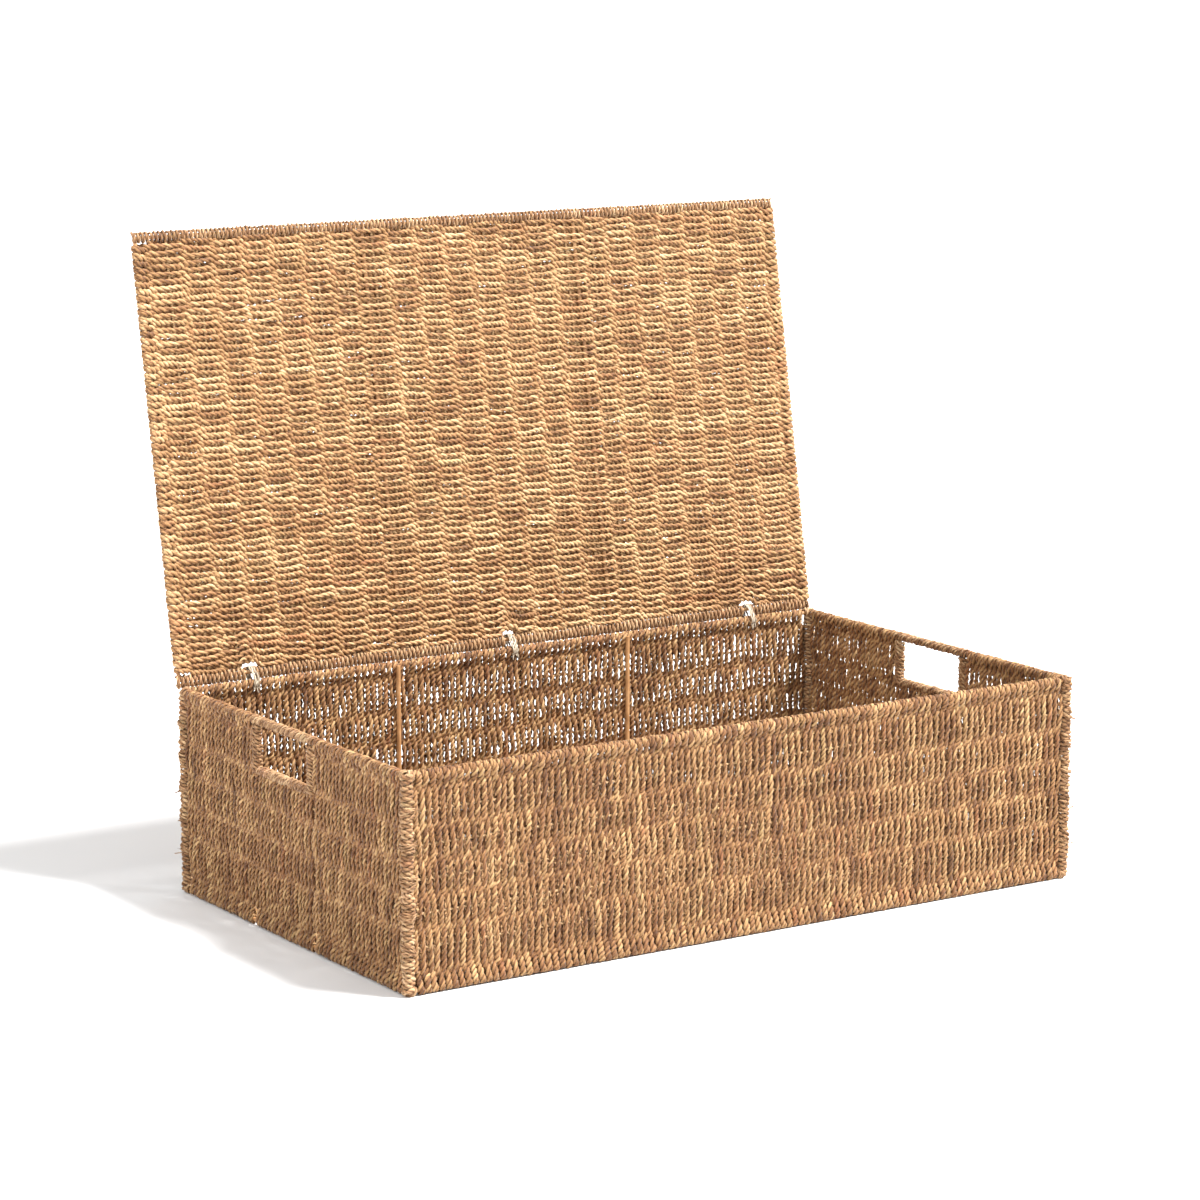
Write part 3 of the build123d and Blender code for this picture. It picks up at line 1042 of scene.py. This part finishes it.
def stray_fibre(cord):
    """A curling, tapering fibre that leaves a cord at a slant and stays above the floor."""
    ring = random.integers(1, len(cord.place) - 2)
    along = cord.place[ring + 1] - cord.place[ring - 1]
    along = along / np.linalg.norm(along) * random.choice((-1, 1))
    off = random.normal(0, 1, 3)
    off -= (off @ along) * along
    off /= np.linalg.norm(off)
    length = random.uniform(*FIBRE_LENGTHS)
    curl = random.normal(0, 0.22, 3)
    root = cord.place[ring] + off * cord.half_depth[ring] * 0.6
    keys = []
    for part in (0, 0.35, 0.7, 1.0):
        place = root + (along * 0.9 + off * 0.25 + curl * part) * part * length
        place[2] = max(place[2], FIBRE_HALF_WIDTH)
        half = FIBRE_HALF_WIDTH * (1 - 0.7 * part)
        keys.append((*place, half, half))
    return Cord(keys, off, step=FIBRE_RING_STEP, sides=3)


# ---------------------------------------------------------------- stage

def add_stage():
    """Pale floor, bright surroundings and soft lamps."""
    bpy.ops.mesh.primitive_plane_add(size=FLOOR_SIZE, location=(0, 0, 0))
    floor = bpy.context.object
    floor.name = "studio_floor"
    material, _, shader = new_material("studio_floor")
    shader.inputs["Base Color"].default_value = (FLOOR_GREY, FLOOR_GREY, FLOOR_GREY, 1)
    shader.inputs["Roughness"].default_value = 0.9
    floor.data.materials.append(material)
    world = bpy.data.worlds.new("studio")
    world.use_nodes = True
    background = world.node_tree.nodes["Background"]
    background.inputs["Color"].default_value = (1, 1, 1, 1)
    background.inputs["Strength"].default_value = WORLD_LIGHT
    bpy.context.scene.world = world
    add_lamp("key", *KEY_LAMP)
    add_lamp("fill", *FILL_LAMP)
    view = bpy.context.scene.view_settings
    view.view_transform = "Standard"
    view.exposure = EXPOSURE


def add_lamp(name, azimuth, elevation, strength, softness):
    """A distant soft lamp; its azimuth counts from straight in front towards the right."""
    light = bpy.data.lights.new(name, "SUN")
    light.energy = strength
    light.angle = math.radians(softness)
    lamp = bpy.data.objects.new(name, light)
    lamp.rotation_euler = (math.radians(90 - elevation), 0, math.radians(azimuth))
    bpy.context.scene.collection.objects.link(lamp)


def add_camera():
    """A long-lens camera in front of the basket, to its left and a little above it."""
    azimuth = math.radians(CAMERA_AZIMUTH)
    elevation = math.radians(CAMERA_ELEVATION)
    back = Vector((
        math.sin(azimuth) * math.cos(elevation),
        -math.cos(azimuth) * math.cos(elevation),
        math.sin(elevation),
    ))
    lens = bpy.data.cameras.new("camera")
    lens.lens = CAMERA_LENS
    lens.sensor_width = SENSOR_WIDTH
    camera = bpy.data.objects.new("camera", lens)
    camera.location = Vector(CAMERA_TARGET) + back * CAMERA_DISTANCE
    camera.rotation_mode = "QUATERNION"
    camera.rotation_quaternion = (-back).to_track_quat("-Z", "Y")
    bpy.context.scene.collection.objects.link(camera)
    bpy.context.scene.camera = camera


def dress_cad_pieces():
    """Gives the wires and the thin warps, which are the CAD model's own, their materials."""
    wire = coated_wire()
    warp = warp_cord()
    for name, cad in frame["nodes"].items():
        cad.data.materials.clear()
        cad.data.materials.append(warp if "warps" in name else wire)


def main():
    """Builds the basket and its lid, piece by piece, and then what stands round them."""
    add_camera()
    weave = seagrass("seagrass_weave", WALL_STRAW)
    # The lid's seagrass is a paler copy of the wall's: painted light on the lid.
    painted_light_lid_weave = seagrass("seagrass_lid_painted_light", LID_STRAW_WITH_PAINTED_LIGHT)
    binding = seagrass("seagrass_binding", BINDING_STRAW)
    tape = seagrass("hinge_tape", TIE_STRAW, hue_strength=0.1)
    dress_cad_pieces()
    long_wall("front", -1, weave)
    long_wall("back", 1, weave)
    short_wall("left", -1, weave)
    short_wall("right", 1, weave)
    floor_weave(weave)
    corner_windings(binding)
    corner_knots(binding)
    handle_windings("left", -1, binding)
    handle_windings("right", 1, binding)
    lid_weave(painted_light_lid_weave)
    lid_bindings(binding)
    for body, count in FIBRES.items():
        fibres = stray_fibres(cords_on[body], count)
        add_piece(body + "_fibres", fibres, body, binding)
    hinge_ties(tape)
    add_stage()


main()
